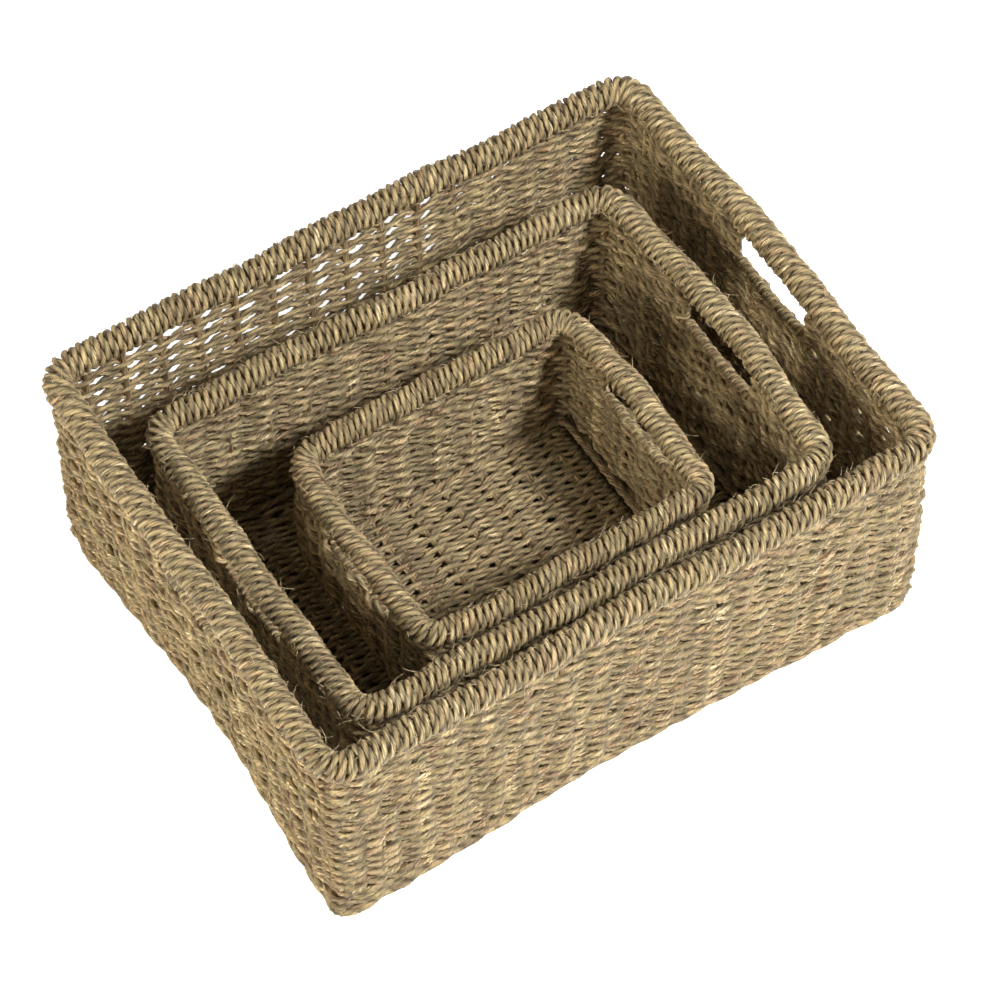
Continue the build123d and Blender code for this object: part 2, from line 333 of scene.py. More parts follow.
class CordMesh:
    """Gathers swept cords and makes one mesh of them."""

    def __init__(self):
        self.verts, self.quads, self.caps = [], [], []
        self.uvs, self.tones, self.lights = [], [], []
        self.count = 0

    def add(self, points, side, radius, rng, closed=False, turns=0.0, sides=8, groove=1.0,
            tone=0.0, spread=1.0):
        """Sweeps a two-ply section along points.

        side is a direction across the cord, turns is its twist in turns a metre, and
        groove is the radius left between the plies, as a share: 1 is a round cord.
        """
        n = len(points)
        if closed:
            ahead = np.roll(points, -1, 0) - np.roll(points, 1, 0)
        else:
            ahead = np.gradient(points, axis=0)
        ahead /= np.linalg.norm(ahead, axis=1)[:, None]
        a = side - ahead * np.sum(side * ahead, 1)[:, None]
        a /= np.linalg.norm(a, axis=1)[:, None]
        b = np.cross(ahead, a)
        steps = np.linalg.norm(np.diff(points, axis=0), axis=1)
        along = np.concatenate([[0.0], np.cumsum(steps)])
        total = along[-1] + (np.linalg.norm(points[0] - points[-1]) if closed else 0.0)
        if closed:
            turns = round(turns * total) / total
        angle = np.arange(sides) / sides * TAU
        shape = 1 - (1 - groove) * np.abs(np.sin(angle)) ** PLY_SHARPNESS
        twist = along[:, None] * turns * TAU + angle[None, :]
        r = np.broadcast_to(radius, (n,))[:, None] * shape[None, :]
        v = points[:, None, :] + (r * np.cos(twist))[..., None] * a[:, None, :]
        v = v + (r * np.sin(twist))[..., None] * b[:, None, :]
        ply = np.where(np.cos(angle) > 0.01, 0, 1)
        loop = total if closed else None
        tones = np.stack([drift(rng, along, step, loop) for step in TONE_STEPS], -1)
        lights = np.stack([drift(rng, along, step, loop) for step in LIGHT_STEPS], -1)
        base = tone + CORD_TONE * rng.uniform(-1, 1)
        self.tones.append((base + spread * tones[:, ply]).ravel())
        self.lights.append(lights[:, ply].ravel())
        rows = n if closed else n - 1
        i = np.arange(rows)[:, None]
        k = np.arange(sides)[None, :]
        i2 = (i + 1) % n
        k2 = (k + 1) % sides
        quad = np.stack([i * sides + k, i * sides + k2, i2 * sides + k2, i2 * sides + k], -1)
        self.quads.append(quad.reshape(-1, 4) + self.count)
        u = np.append(along, total) / UV_UNIT
        u1, u2 = u[:rows][:, None], u[1:rows + 1][:, None]
        v1, v2 = k / sides, (k + 1) / sides
        uv = np.stack(np.broadcast_arrays(u1, v1, u1, v2, u2, v2, u2, v1), -1)
        self.uvs.append(uv.reshape(-1, 2))
        if not closed:
            first = np.arange(sides)[::-1] + self.count
            last = np.arange(sides) + (n - 1) * sides + self.count
            self.caps += [first, last]
        self.verts.append(v.reshape(-1, 3))
        self.count += n * sides

    def make(self, name, material, plan, nodes, slot):
        """Makes the finished piece, leans it with its basket and puts it in the frame."""
        verts = plan.lean(np.concatenate(self.verts))
        quads = np.concatenate(self.quads)
        uvs = np.concatenate(self.uvs)
        mesh = bpy.data.meshes.new(name)
        cap_loops = np.concatenate(self.caps) if self.caps else np.array([], int)
        cap_sizes = np.array([len(c) for c in self.caps], int)
        mesh.vertices.add(len(verts))
        mesh.vertices.foreach_set("co", verts.astype(np.float32).ravel())
        loops = np.concatenate([quads.ravel(), cap_loops])
        mesh.loops.add(len(loops))
        mesh.loops.foreach_set("vertex_index", loops.astype(np.int32))
        sizes = np.concatenate([np.full(len(quads), 4), cap_sizes])
        starts = np.concatenate([[0], np.cumsum(sizes)[:-1]])
        mesh.polygons.add(len(sizes))
        mesh.polygons.foreach_set("loop_start", starts.astype(np.int32))
        mesh.polygons.foreach_set("use_smooth", np.ones(len(sizes), bool))
        layer = mesh.uv_layers.new(name="cord")
        flat = np.concatenate([uvs, np.zeros((len(cap_loops), 2))])
        layer.data.foreach_set("uv", flat.astype(np.float32).ravel())
        for title, values in (("tone", self.tones), ("light", self.lights)):
            attribute = mesh.attributes.new(title, "FLOAT", "POINT")
            attribute.data.foreach_set("value", np.concatenate(values).astype(np.float32))
        mesh.update(calc_edges=True)
        mesh.validate()
        mesh.materials.append(material)
        piece = bpy.data.objects.new(name, mesh)
        bpy.context.scene.collection.objects.link(piece)
        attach(piece, plan.body)
        if nodes:
            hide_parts(*nodes)
        return piece


def xyz(plan_points, z):
    """Points in the room from plan points and heights."""
    return np.column_stack([plan_points, np.broadcast_to(z, len(plan_points))])


def steady(direction):
    """A direction that stays the same along a line, for any number of places."""
    return lambda s: np.tile(direction, (len(s), 1))


def ply_pitch():
    return bpy.context.scene.basket_cords.ply_pitch


# ------------------------------------------------------------- node groups and materials
def new_group(name, inputs, outputs):
    tree = bpy.data.node_groups.new(name, "ShaderNodeTree")
    for title, kind, default in inputs:
        socket = tree.interface.new_socket(name=title, in_out="INPUT", socket_type=kind)
        socket.default_value = default
    for title, kind in outputs:
        tree.interface.new_socket(name=title, in_out="OUTPUT", socket_type=kind)
    return tree, tree.nodes.new("NodeGroupInput"), tree.nodes.new("NodeGroupOutput")


def math_node(tree, operation, *values, clamp=False):
    node = tree.nodes.new("ShaderNodeMath")
    node.operation = operation
    node.use_clamp = clamp
    for socket, value in zip(node.inputs, values):
        if isinstance(value, bpy.types.NodeSocket):
            tree.links.new(value, socket)
        else:
            socket.default_value = value
    return node.outputs[0]


def mix_colour(tree, factor, a, b, blend="MIX"):
    node = tree.nodes.new("ShaderNodeMix")
    node.data_type = "RGBA"
    node.blend_type = blend
    for socket, value in zip((node.inputs[0], node.inputs[6], node.inputs[7]), (factor, a, b)):
        if isinstance(value, bpy.types.NodeSocket):
            tree.links.new(value, socket)
        else:
            socket.default_value = value
    return node.outputs[2]


def grass_group(colours):
    """Blade colour, fibre height and a roughness mask along a twisted seagrass cord."""
    tree, into, out = new_group(
        "Seagrass cord",
        [("Groove", "NodeSocketFloat", 0.5), ("Warmth", "NodeSocketFloat", 0.0),
         ("Blade count", "NodeSocketFloat", 9.0), ("Twist", "NodeSocketFloat", 0.0)],
        [("Color", "NodeSocketColor"), ("Height", "NodeSocketFloat"),
         ("Roughness", "NodeSocketFloat")])
    nodes, links = tree.nodes, tree.links
    uv = nodes.new("ShaderNodeUVMap")
    uv.uv_map = "cord"
    split = nodes.new("ShaderNodeSeparateXYZ")
    links.new(uv.outputs[0], split.inputs[0])
    along = split.outputs[0]
    angle = math_node(tree, "MULTIPLY", split.outputs[1], TAU)
    turned = math_node(tree, "MULTIPLY", into.outputs["Twist"], TAU)
    turned = math_node(tree, "ADD", angle, math_node(tree, "MULTIPLY", along, turned))
    cosine = math_node(tree, "COSINE", turned)
    sine = math_node(tree, "SINE", turned)
    tone = nodes.new("ShaderNodeAttribute")
    tone.attribute_name = "tone"
    light = nodes.new("ShaderNodeAttribute")
    light.attribute_name = "light"

    def streaks(stretch, width, detail):
        point = nodes.new("ShaderNodeCombineXYZ")
        links.new(math_node(tree, "MULTIPLY", along, stretch), point.inputs[0])
        links.new(math_node(tree, "MULTIPLY", cosine, width), point.inputs[1])
        links.new(math_node(tree, "MULTIPLY", sine, width), point.inputs[2])
        noise = nodes.new("ShaderNodeTexNoise")
        noise.inputs["Scale"].default_value = 1.0
        noise.inputs["Detail"].default_value = detail
        noise.inputs["Roughness"].default_value = 0.6
        links.new(point.outputs[0], noise.inputs["Vector"])
        return noise.outputs["Fac"]

    blade_width = math_node(tree, "MULTIPLY", into.outputs["Blade count"], 0.33)
    blades = streaks(0.55, blade_width, 2.0)
    blades = math_node(tree, "MULTIPLY_ADD", blades, 3.2, -1.1, clamp=True)
    fine = streaks(1.2, 3.4, 3.0)
    fine = math_node(tree, "MULTIPLY_ADD", fine, 3.0, -1.0, clamp=True)
    place = math_node(tree, "MULTIPLY_ADD", tone.outputs["Fac"], 0.26, 0.52)
    place = math_node(tree, "ADD", place, math_node(tree, "MULTIPLY_ADD", blades, 0.42, -0.21))
    place = math_node(tree, "ADD", place, into.outputs["Warmth"])
    ramp = nodes.new("ShaderNodeValToRGB")
    links.new(place, ramp.inputs[0])
    ramp.color_ramp.interpolation = "B_SPLINE"
    stops = ((0.0, colours.dark), (0.16, colours.brown), (0.34, colours.straw),
             (0.52, colours.straw), (0.66, colours.green), (0.80, colours.straw),
             (0.97, colours.pale))
    elements = ramp.color_ramp.elements
    while len(elements) < len(stops):
        elements.new(0.5)
    for element, (spot, colour) in zip(elements, stops):
        element.position = spot
        element.color = (*colour, 1.0)
    brightness = math_node(tree, "MULTIPLY_ADD", light.outputs["Fac"], 0.26, 1.0)
    brightness = math_node(
        tree, "MULTIPLY", brightness, math_node(tree, "MULTIPLY_ADD", fine, 1.00, 0.42))
    brightness = math_node(
        tree, "MULTIPLY", brightness, math_node(tree, "MULTIPLY_ADD", blades, 0.70, 0.63))
    # Painted shade: the colour is darkened in the valley between the two plies, as far as the
    # groove input asks; the same input sets the bump there.
    double = math_node(tree, "MULTIPLY", angle, 2.0)
    ridge = math_node(tree, "MULTIPLY_ADD", math_node(tree, "COSINE", double), 0.5, 0.5)
    ridge = math_node(tree, "POWER", math_node(tree, "MAXIMUM", ridge, 0.0), 0.35)
    valley = math_node(tree, "SUBTRACT", 1.0, ridge)
    shade = math_node(
        tree, "SUBTRACT", 1.0, math_node(tree, "MULTIPLY", valley, into.outputs["Groove"]))
    brightness = math_node(tree, "MULTIPLY", brightness, shade)
    grey = nodes.new("ShaderNodeCombineColor")
    for socket in grey.inputs:
        links.new(brightness, socket)
    colour = mix_colour(tree, 1.0, ramp.outputs[0], grey.outputs[0], "MULTIPLY")
    links.new(colour, out.inputs["Color"])
    height = math_node(tree, "MULTIPLY", ridge, into.outputs["Groove"])
    height = math_node(tree, "ADD", height, math_node(tree, "MULTIPLY", blades, 0.5))
    height = math_node(tree, "ADD", height, math_node(tree, "MULTIPLY", fine, 0.35))
    links.new(height, out.inputs["Height"])
    links.new(math_node(tree, "MULTIPLY_ADD", fine, 0.35, 0.42), out.inputs["Roughness"])
    return tree


def grass_material(name, groove, warmth, blades, bump, twist=0.0):
    material = bpy.data.materials.new(name)
    material.use_nodes = True
    tree = material.node_tree
    shader = tree.nodes["Principled BSDF"]
    shader.inputs["Specular IOR Level"].default_value = 0.35
    shader.inputs["Sheen Weight"].default_value = 0.08
    cord = tree.nodes.new("ShaderNodeGroup")
    cord.node_tree = bpy.data.node_groups["Seagrass cord"]
    # The groove value sets the bump between the plies and the painted shade darkening it.
    cord.inputs["Groove"].default_value = groove
    cord.inputs["Warmth"].default_value = warmth
    cord.inputs["Blade count"].default_value = blades
    cord.inputs["Twist"].default_value = twist
    relief = tree.nodes.new("ShaderNodeBump")
    relief.inputs["Strength"].default_value = bump
    relief.inputs["Distance"].default_value = 0.0006
    tree.links.new(cord.outputs["Color"], shader.inputs["Base Color"])
    tree.links.new(cord.outputs["Roughness"], shader.inputs["Roughness"])
    tree.links.new(cord.outputs["Height"], relief.inputs["Height"])
    tree.links.new(relief.outputs[0], shader.inputs["Normal"])
    return material


def wire_material(colour):
    """Galvanised wire with a mottled zinc surface."""
    material = bpy.data.materials.new("galvanised wire")
    material.use_nodes = True
    tree = material.node_tree
    shader = tree.nodes["Principled BSDF"]
    shader.inputs["Metallic"].default_value = 1.0
    place = tree.nodes.new("ShaderNodeTexCoord")
    noise = tree.nodes.new("ShaderNodeTexNoise")
    noise.inputs["Scale"].default_value = 900.0
    noise.inputs["Detail"].default_value = 4.0
    tree.links.new(place.outputs["Object"], noise.inputs["Vector"])
    dull = tuple(0.6 * c for c in colour)
    tint = mix_colour(tree, noise.outputs["Fac"], (*dull, 1.0), (*colour, 1.0))
    tree.links.new(tint, shader.inputs["Base Color"])
    rough = math_node(tree, "MULTIPLY_ADD", noise.outputs["Fac"], 0.3, 0.3)
    tree.links.new(rough, shader.inputs["Roughness"])
    return material


# ------------------------------------------------------------- pieces
def winding(cords, rng, centre, ahead, out, up, radius, cord, turns, per_turn, gap):
    """Winds a cord round a line, whose centre and directions are functions of the length."""
    t = np.arange(int(turns * per_turn) + 1) / per_turn
    angle = TAU * t
    wobble = drift(rng, t, 1.0) * TURN_WOBBLE + drift(rng, t, 7.0) * RUN_WOBBLE
    lean = TURN_LEAN * np.sin(angle)
    place = (t + wobble + lean) * gap
    reach = radius - cord / 2 + TURN_UNEVEN * drift(rng, t, 1.3)
    c, o, u = centre(place), out(place), up(place)
    points = c + reach[:, None] * (np.cos(angle)[:, None] * o + np.sin(angle)[:, None] * u)
    thickness = cord / 2 * (WOUND_FULLNESS + WOUND_SWELL * drift(rng, t, 1.7))
    cords.add(points, ahead(place), thickness, rng, turns=WOUND_TWIST / ply_pitch(), groove=0.60)


def rim_piece(plan, material):
    """The wound rim: a filled core and one cord wound round it all the way."""
    settings = bpy.context.scene.basket_cords
    rng = np.random.default_rng(11 + BASKETS.index(plan.name))
    cords = CordMesh()
    turns = round(plan.length / settings.winding_pitch)
    gap = plan.length / turns
    wave = np.random.default_rng(5 + BASKETS.index(plan.name)).uniform(0, TAU, 6)

    def sway(s, k):
        q = TAU * s / plan.length
        return RIM_SWAY * (np.sin(5 * q + wave[k]) + np.sin(9 * q + wave[k + 1])
                           + 0.6 * np.sin(17 * q + wave[k + 2]))

    def centre(s):
        return xyz(plan.run(s, sway(s, 0))[0], plan.rim_z + sway(s, 3))

    def out(s):
        return xyz(plan.run(s)[1], 0.0)

    def ahead(s):
        return np.cross(UP, out(s))

    winding(cords, rng, centre, ahead, out, steady(UP), plan.rim_radius,
            settings.winding_diameter, turns, TURN_SECTIONS[plan.name], gap)
    s = np.linspace(0, plan.length, 240, endpoint=False)
    core = plan.rim_radius - 0.8 * settings.winding_diameter
    # The core is toned dark as painted shade in the gaps between the turns of the winding
    cords.add(centre(s), out(s), core, rng, closed=True, sides=10, tone=-1.2)
    return cords.make(f"{plan.name}_wound_rim", material, plan,
                      [f"{plan.name}_rim_winding"], "wound_cord")


def binding_piece(plan, side, material):
    """The bound lower edge of one slot."""
    settings = bpy.context.scene.basket_cords
    low, high = plan.binding[side]
    rng = np.random.default_rng(31 + 2 * BASKETS.index(plan.name) + (side == "left"))
    x = (low[0] + high[0]) / 2
    length = high[1] - low[1]
    gap = settings.winding_pitch * 0.8
    cords = CordMesh()
    radius = plan.binding_radius * 0.66

    def centre(s):
        sag = 0.0016 * (1 - np.cos(TAU * (s / length - 0.5)))
        return np.column_stack([np.full(len(s), x), low[1] + s, low[2] + radius + sag])

    out, ahead = steady([1.0, 0.0, 0.0]), steady([0.0, 1.0, 0.0])
    winding(cords, rng, centre, ahead, out, steady(UP), radius,
            settings.winding_diameter * 0.7, length / gap - 0.5, 24, gap)
    s = np.linspace(0, length, 24)
    # The core is toned dark as painted shade in the gaps between the turns of the binding
    cords.add(centre(s), out(s), radius * 0.55, rng, tone=-1.0)
    return cords.make(f"{plan.name}_{side}_slot_edge", material, plan,
                      [f"{plan.name}_{side}_slot_binding"], "wound_cord")


def weft_row(cords, plan, rng, stakes, height, loose, start, stop, row, top, settings, closed):
    """One twined row: two cords that swap sides between every pair of stakes."""
    form = UPPER_ROW if row else FIRST_ROW
    cord = settings.weft_diameter
    swing = ((plan.wall - cord) / 2 - SWING_CLEARANCE) * form.swing
    rise = cord * form.rise
    knots = np.concatenate([[stakes[-1] - plan.length], stakes, [stakes[0] + plan.length]])
    number = np.arange(len(knots)) - 1.0
    shift = rng.uniform(-STITCH_SHIFT, STITCH_SHIFT)
    round_length = None

    def lay(s, flip):
        count = np.interp(np.mod(s, plan.length), knots, number)
        lap = np.floor(s / plan.length)
        stray = (shift + STITCH_DRIFT * drift(rng, s, 0.07, round_length)) * (1 - loose(s))
        phase = math.pi * (count + lap * len(stakes) + flip + stray)
        level = height(s) - cord * form.drop
        belly = BELLY * math.sin(math.pi * row / top)
        offset = swing * np.cos(phase) + belly + 0.0006 * drift(rng, s, 0.034, round_length)
        plan_points, out = plan.run(s, offset, (level - plan.floor_z) / plan.rim_z)
        z = level + rise * np.sin(phase) + 0.0005 * drift(rng, s, 0.05, round_length)
        swell = form.swell * (1 - loose(s))
        fullness = 1 + swell * np.cos(phase) ** 2 - 0.06 * loose(s)
        return xyz(plan_points, z), xyz(out, 0.0), fullness

    thick = cord / 2 * WEFT_FULLNESS
    twist = 1 / ply_pitch()
    if closed:
        laps = 1 if len(stakes) % 2 == 0 else 2
        round_length = plan.length * laps
        for flip in range(3 - laps):
            n = int(round_length / CORD_STEP)
            s = np.linspace(0, round_length, n, endpoint=False)
            points, out, fullness = lay(s, flip)
            radius = thick * fullness * (1 + 0.09 * drift(rng, s, 0.02, round_length))
            cords.add(points, out, radius, rng, closed=True, turns=twist, groove=form.groove)
        return
    n = int((stop - start) / CORD_STEP)
    s = np.linspace(start, stop, n)
    one, _, full_one = lay(s, 0)
    two, _, full_two = lay(s, 1)
    ahead_end = one[-1] - one[-2]
    ahead_end /= np.linalg.norm(ahead_end)
    ahead_start = one[0] - one[1]
    ahead_start /= np.linalg.norm(ahead_start)

    def loop(a, b, ahead):
        t = np.linspace(0, math.pi, 7)[1:-1, None]
        middle, half = (a + b) / 2, (a - b) / 2
        return middle + half * np.cos(t) + ahead * np.linalg.norm(half) * np.sin(t)

    far = loop(one[-1], two[-1], ahead_end)
    near = loop(two[0], one[0], ahead_start)
    points = np.concatenate([one, far, two[::-1], near])
    full = np.concatenate([full_one, np.ones(len(far)), full_two[::-1], np.ones(len(near))])
    along = np.arange(len(points)) * CORD_STEP
    radius = thick * full * (1 + 0.08 * drift(rng, along, 0.02))
    cords.add(points, steady(UP)(points), radius, rng, closed=True, turns=twist,
              groove=form.groove)


def wall_pieces(plan, material):
    """All the rows of one basket's walls, broken at the hand slots."""
    settings = bpy.context.scene.basket_cords
    rng = np.random.default_rng(101 + BASKETS.index(plan.name))
    stakes = plan.stakes(settings.stake_spacing)[2]
    low = plan.floor_z + settings.weft_diameter + 0.0004
    high = plan.wall_top - 0.0020
    rows = max(2, round((high - low) / settings.row_pitch))
    edge = plan.slot_half + ROW_END_BESIDE_SLOT
    right, left = plan.where("right", 0.0), plan.where("left", 0.0)
    spans = [(right + edge, left - edge), (left + edge, right - edge + plan.length)]
    lower, upper = CordMesh(), CordMesh()
    back = plan.where("back", 0.0)

    def slack(s):
        """How far the weave is opened up at places along the plan."""
        if plan.name != "large":
            return np.zeros(len(s))
        middle, width = BACK_PATCH
        gone = (np.mod(s, plan.length) - back) / plan.half[0]
        beside = (np.mod(s, plan.length) - plan.where("right", SLOT_PATCH[0])) / SLOT_PATCH[1]
        return (settings.looseness * np.exp(-((gone - middle) / width) ** 4)
                + 0.5 * settings.looseness * np.exp(-beside ** 4))

    for row in range(rows + 1):
        share = row / rows

        def loose(s, share=share):
            return np.clip(slack(s) * 2.4 * (share - PATCH_FOOT) / (1 - PATCH_FOOT), 0, 1)

        def height(s, share=share):
            grade = share + slack(s) * (share ** 2 - share)
            wave = 0.0007 * np.sin(s * 23.0 + share * 9)
            wave = wave + 0.0005 * np.sin(s * 61.0 - share * 31)
            return low + (high - low) * grade + wave * min(1.0, 4 * share)

        z = low + (high - low) * share
        into = upper if row > rows / 2 else lower
        if z > plan.binding_z - plan.binding_radius * 0.35:
            for start, stop in spans:
                weft_row(into, plan, rng, stakes, height, loose, start, stop, row, rows,
                         settings, False)
        else:
            weft_row(into, plan, rng, stakes, height, loose, 0, 0, row, rows, settings, True)
    walls = [f"{plan.name}_{side}_wall" for side in ("front", "right", "back", "left")]
    lower.make(f"{plan.name}_lower_wall_weave", material, plan, walls, "woven_seagrass")
    upper.make(f"{plan.name}_upper_wall_weave", material, plan, walls, "woven_seagrass")


def base_piece(plan, material):
    """The twined base, its rows along the long side."""
    settings = bpy.context.scene.basket_cords
    rng = np.random.default_rng(201 + BASKETS.index(plan.name))
    cord = settings.weft_diameter
    cords = CordMesh()
    xs = plan.stakes(settings.stake_spacing)[0]
    gap = xs[1] - xs[0]
    half = plan.half - plan.wall / 2 + 0.001
    corner = plan.corner - plan.wall / 2
    count = round(2 * (half[1] - cord) / (settings.row_pitch * BASE_PITCH))
    middle = (plan.floor_z + plan.base_top) / 2
    swing = (plan.base_top - plan.floor_z - cord) / 2 - 0.0010
    rise = cord * UPPER_ROW.rise
    for row in range(count + 1):
        y = (half[1] - cord) * (2 * row / count - 1)
        past = max(0.0, abs(y) - (half[1] - corner))
        reach = half[0] - corner + math.sqrt(max(corner ** 2 - past ** 2, 0.0)) - cord / 2
        x = np.arange(-reach, reach, CORD_STEP)
        phase = math.pi * ((x - xs[0]) / gap + rng.uniform(-0.2, 0.2)
                           + 0.22 * drift(rng, x + reach, 0.06))
        strands = []
        for flip in (0, math.pi):
            turn = phase + flip
            dz = swing * np.cos(turn)
            dy = rise * np.sin(turn) + 0.0006 * drift(rng, x, 0.05)
            strands.append(np.column_stack([x, y + dy, middle + dz]))
        full = 1.06 + 0.34 * np.cos(phase) ** 2
        for strand in strands:
            strand[:, :2] += plan.centre
            radius = cord / 2 * full * (1 + 0.08 * drift(rng, x, 0.02))
            cords.add(strand, steady(UP)(x), radius, rng, turns=1 / ply_pitch(),
                      groove=UPPER_ROW.groove)
    return cords.make(f"{plan.name}_twined_base", material, plan,
                      [f"{plan.name}_base_weave"], "woven_seagrass")


def braid_piece(plan, material):
    """The three-strand rope along the inside seam of base and walls."""
    low, high = (np.array(c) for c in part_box(f"{plan.name}_seam_braid"))
    rng = np.random.default_rng(301 + BASKETS.index(plan.name))
    cords = CordMesh()
    cord = high[2] - low[2]
    z = (low[2] + high[2]) / 2
    offset = (high[0] - low[0]) / 2 - cord / 2 - plan.half[0]
    s = np.arange(0, plan.length, 0.0022)
    turns = round(plan.length / 0.011)
    for strand in range(3):
        angle = TAU * (turns * s / plan.length + strand / 3)
        points, out = plan.run(s, offset + 0.24 * cord * np.cos(angle)
                               + 0.0007 * drift(rng, s, 0.03, plan.length))
        lift = z + 0.24 * cord * np.sin(angle) + 0.0009 * drift(rng, s, 0.04, plan.length)
        cords.add(xyz(points, lift), xyz(out, 0.0), cord * 0.27, rng, closed=True, sides=6,
                  groove=0.9)
    return cords.make(f"{plan.name}_seam_rope", material, plan,
                      [f"{plan.name}_seam_braid"], "seam_cord")


def stake_piece(plan, material):
    """The stakes, the warps that run on under the base, and the cord sleeves of the posts."""
    settings = bpy.context.scene.basket_cords
    rng = np.random.default_rng(401 + BASKETS.index(plan.name))
    xs, ys, _ = plan.stakes(settings.stake_spacing)
    cords = CordMesh()
    low = (plan.floor_z + plan.base_top) / 2
    bend = STAKE_BEND
    turn = np.linspace(0, math.pi / 2, 6)
    across = steady([1.0, 0.0, 0.0])
    for x in xs:
        up = np.linspace(plan.wall_top + 0.002, low + bend, 20)
        y = plan.half[1]
        front = [(-y, z) for z in up] + [
            (-y + bend - bend * math.cos(a), low + bend - bend * math.sin(a)) for a in turn[1:]]
        under = [(v, low) for v in np.linspace(-y + bend, y - bend, 24)[1:-1]]
        back = [(-v, z) for v, z in front[::-1]]
        line = np.array([(x, v, z) for v, z in front + under + back])
        line[:, :2] += plan.centre
        cords.add(line, across(line), STAKE_RADIUS, rng, sides=6, groove=0.9)
    for end in (-1, 1):
        for y in ys:
            top = plan.wall_top + 0.002
            if abs(y) < plan.slot_half:
                top = plan.binding_z
            z = np.linspace(plan.floor_z + 0.006, top, 20)
            line = np.column_stack([np.full(20, plan.centre[0] + end * plan.half[0]),
                                    np.full(20, plan.centre[1] + y), z])
            cords.add(line, across(line), STAKE_RADIUS, rng, sides=6, groove=0.9)
    z = np.linspace(*plan.post_z, 30)
    for corner in plan.bends():
        points, out = plan.run(np.full(30, corner), 0.0, (z - plan.floor_z) / plan.rim_z)
        cords.add(xyz(points, z), xyz(out, 0.0), SLEEVE_RADIUS, rng, turns=1 / ply_pitch(),
                  groove=0.85)
    return cords.make(f"{plan.name}_stakes", material, plan,
                      [f"{plan.name}_base_warps", f"{plan.name}_end_stakes"], "stake_cord")


def hoop_piece(plan, level, material):
    """One steel hoop of the frame, bowed as the basket round it is.

    The base hoop is drawn thinner than the packed one and lies deeper in the first row.
    """
    node = f"{plan.name}_{level}_hoop"
    low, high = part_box(node)
    s = np.linspace(0, plan.length, 400, endpoint=False)
    points, out = plan.run(s) if level == "rim" else plan.run(s, -BASE_HOOP_INSET, 0.0)
    cords = CordMesh()
    rng = np.random.default_rng(1)
    radius = (high[2] - low[2]) / 2 * (1.0 if level == "rim" else BASE_HOOP_SHARE)
    z = (low[2] + high[2]) / 2 - (0.0 if level == "rim" else BASE_HOOP_DROP)
    cords.add(xyz(points, z), xyz(out, 0.0), radius, rng, closed=True, sides=12)
    return cords.make(f"{plan.name}_{level}_wire", material, plan, [node], "steel_wire")


def post_piece(plan, material):
    """The four corner posts, a fifth thinner than packed, leaning with the woven corners."""
    cords = CordMesh()
    rng = np.random.default_rng(2)
    z = np.linspace(*plan.post_z, 24)
    for bend in plan.bends():
        points, out = plan.run(np.full(24, bend), 0.0, (z - plan.floor_z) / plan.rim_z)
        cords.add(xyz(points, z), xyz(out, 0.0), POST_SHARE * plan.post_radius, rng, sides=12)
    nodes = [f"{plan.name}_{end}_{side}_post" for end in ("front", "back")
             for side in ("left", "right")]
    return cords.make(f"{plan.name}_posts", material, plan, nodes, "steel_wire")


def fibre_piece(plan, material):
    """Stray ends of grass that stand out from the rim and the walls."""
    settings = bpy.context.scene.basket_cords
    rng = np.random.default_rng(501 + BASKETS.index(plan.name))
    cords = CordMesh()
    share = plan.length / 1.6
    for _ in range(int(settings.fibres * share)):
        s = np.array([rng.uniform(0, plan.length)])
        on_rim = rng.random() < 0.6
        _, out = plan.run(s)
        out = np.append(out[0], 0.0)
        ahead = np.cross([0.0, 0.0, 1.0], out)
        if on_rim:
            angle = rng.uniform(-0.6, math.pi + 0.6)
            away = math.cos(angle) * out + math.sin(angle) * np.array([0.0, 0.0, 1.0])
            root = np.append(plan.run(s)[0][0], plan.rim_z) + (plan.rim_radius - 0.001) * away
        else:
            away = out * rng.choice([-1.0, 1.0])
            z = rng.uniform(plan.floor_z + 0.012, plan.wall_top)
            root = np.append(plan.run(s)[0][0], z) + (plan.wall / 2 - 0.001) * away
        along = ahead * rng.choice([-1.0, 1.0]) + np.array([0.0, 0.0, rng.uniform(-0.5, 0.5)])
        length = 0.0022 + 0.0075 * rng.random() ** 2.5
        lift = rng.uniform(0.15, 0.8)
        curl = rng.uniform(-0.5, 0.5)
        t = np.linspace(0, 1, 5)[:, None]
        points = root + length * (t * (along + lift * away) + t ** 2 * curl * (away - along * 0.5))
        side = np.tile(np.cross(along, away) + 0.01, (5, 1))
        radius = np.linspace(0.00030, 0.00010, 5)
        cords.add(points, side, radius, rng, sides=3, groove=1.0, tone=0.6, spread=0.4)
    return cords.make(f"{plan.name}_stray_fibres", material, plan, [], "woven_seagrass")


# ------------------------------------------------------------- operators
PLANS = {name: BasketPlan(name) for name in BASKETS}
FINISHES = {}


class BASKET_OT_finishes(bpy.types.Operator):
    """Make the seagrass and wire finishes"""
    bl_idname = "basket.finishes"
    bl_label = "Make finishes"

    def execute(self, context):
        colours = context.scene.basket_colours
        grass_group(colours)
        twist = UV_UNIT / ply_pitch()
        FINISHES["wound"] = grass_material(
            "wound seagrass", 0.85, 0.03, 6.5, 1.0, twist * WOUND_TWIST)
        FINISHES["woven"] = grass_material("twined seagrass", 0.80, 0.0, 6.0, 1.0, twist)
        FINISHES["stake"] = grass_material("seagrass stakes", 0.5, -0.16, 8.0, 0.7)
        FINISHES["seam"] = grass_material("seam rope seagrass", 0.5, -0.10, 8.0, 0.7)
        FINISHES["fibre"] = grass_material("loose seagrass ends", 0.1, 0.2, 3.0, 0.2)
        FINISHES["wire"] = wire_material(colours.steel)
        return {"FINISHED"}


def basket_operator(name, label, about, make):
    """An operator that makes one kind of piece for each of the baskets."""
    def execute(self, context):
        for plan in PLANS.values():
            make(plan)
        return {"FINISHED"}

    return type(f"BASKET_OT_{name}", (bpy.types.Operator,), {
        "__doc__": about, "bl_idname": f"basket.{name}", "bl_label": label,
        "execute": execute})


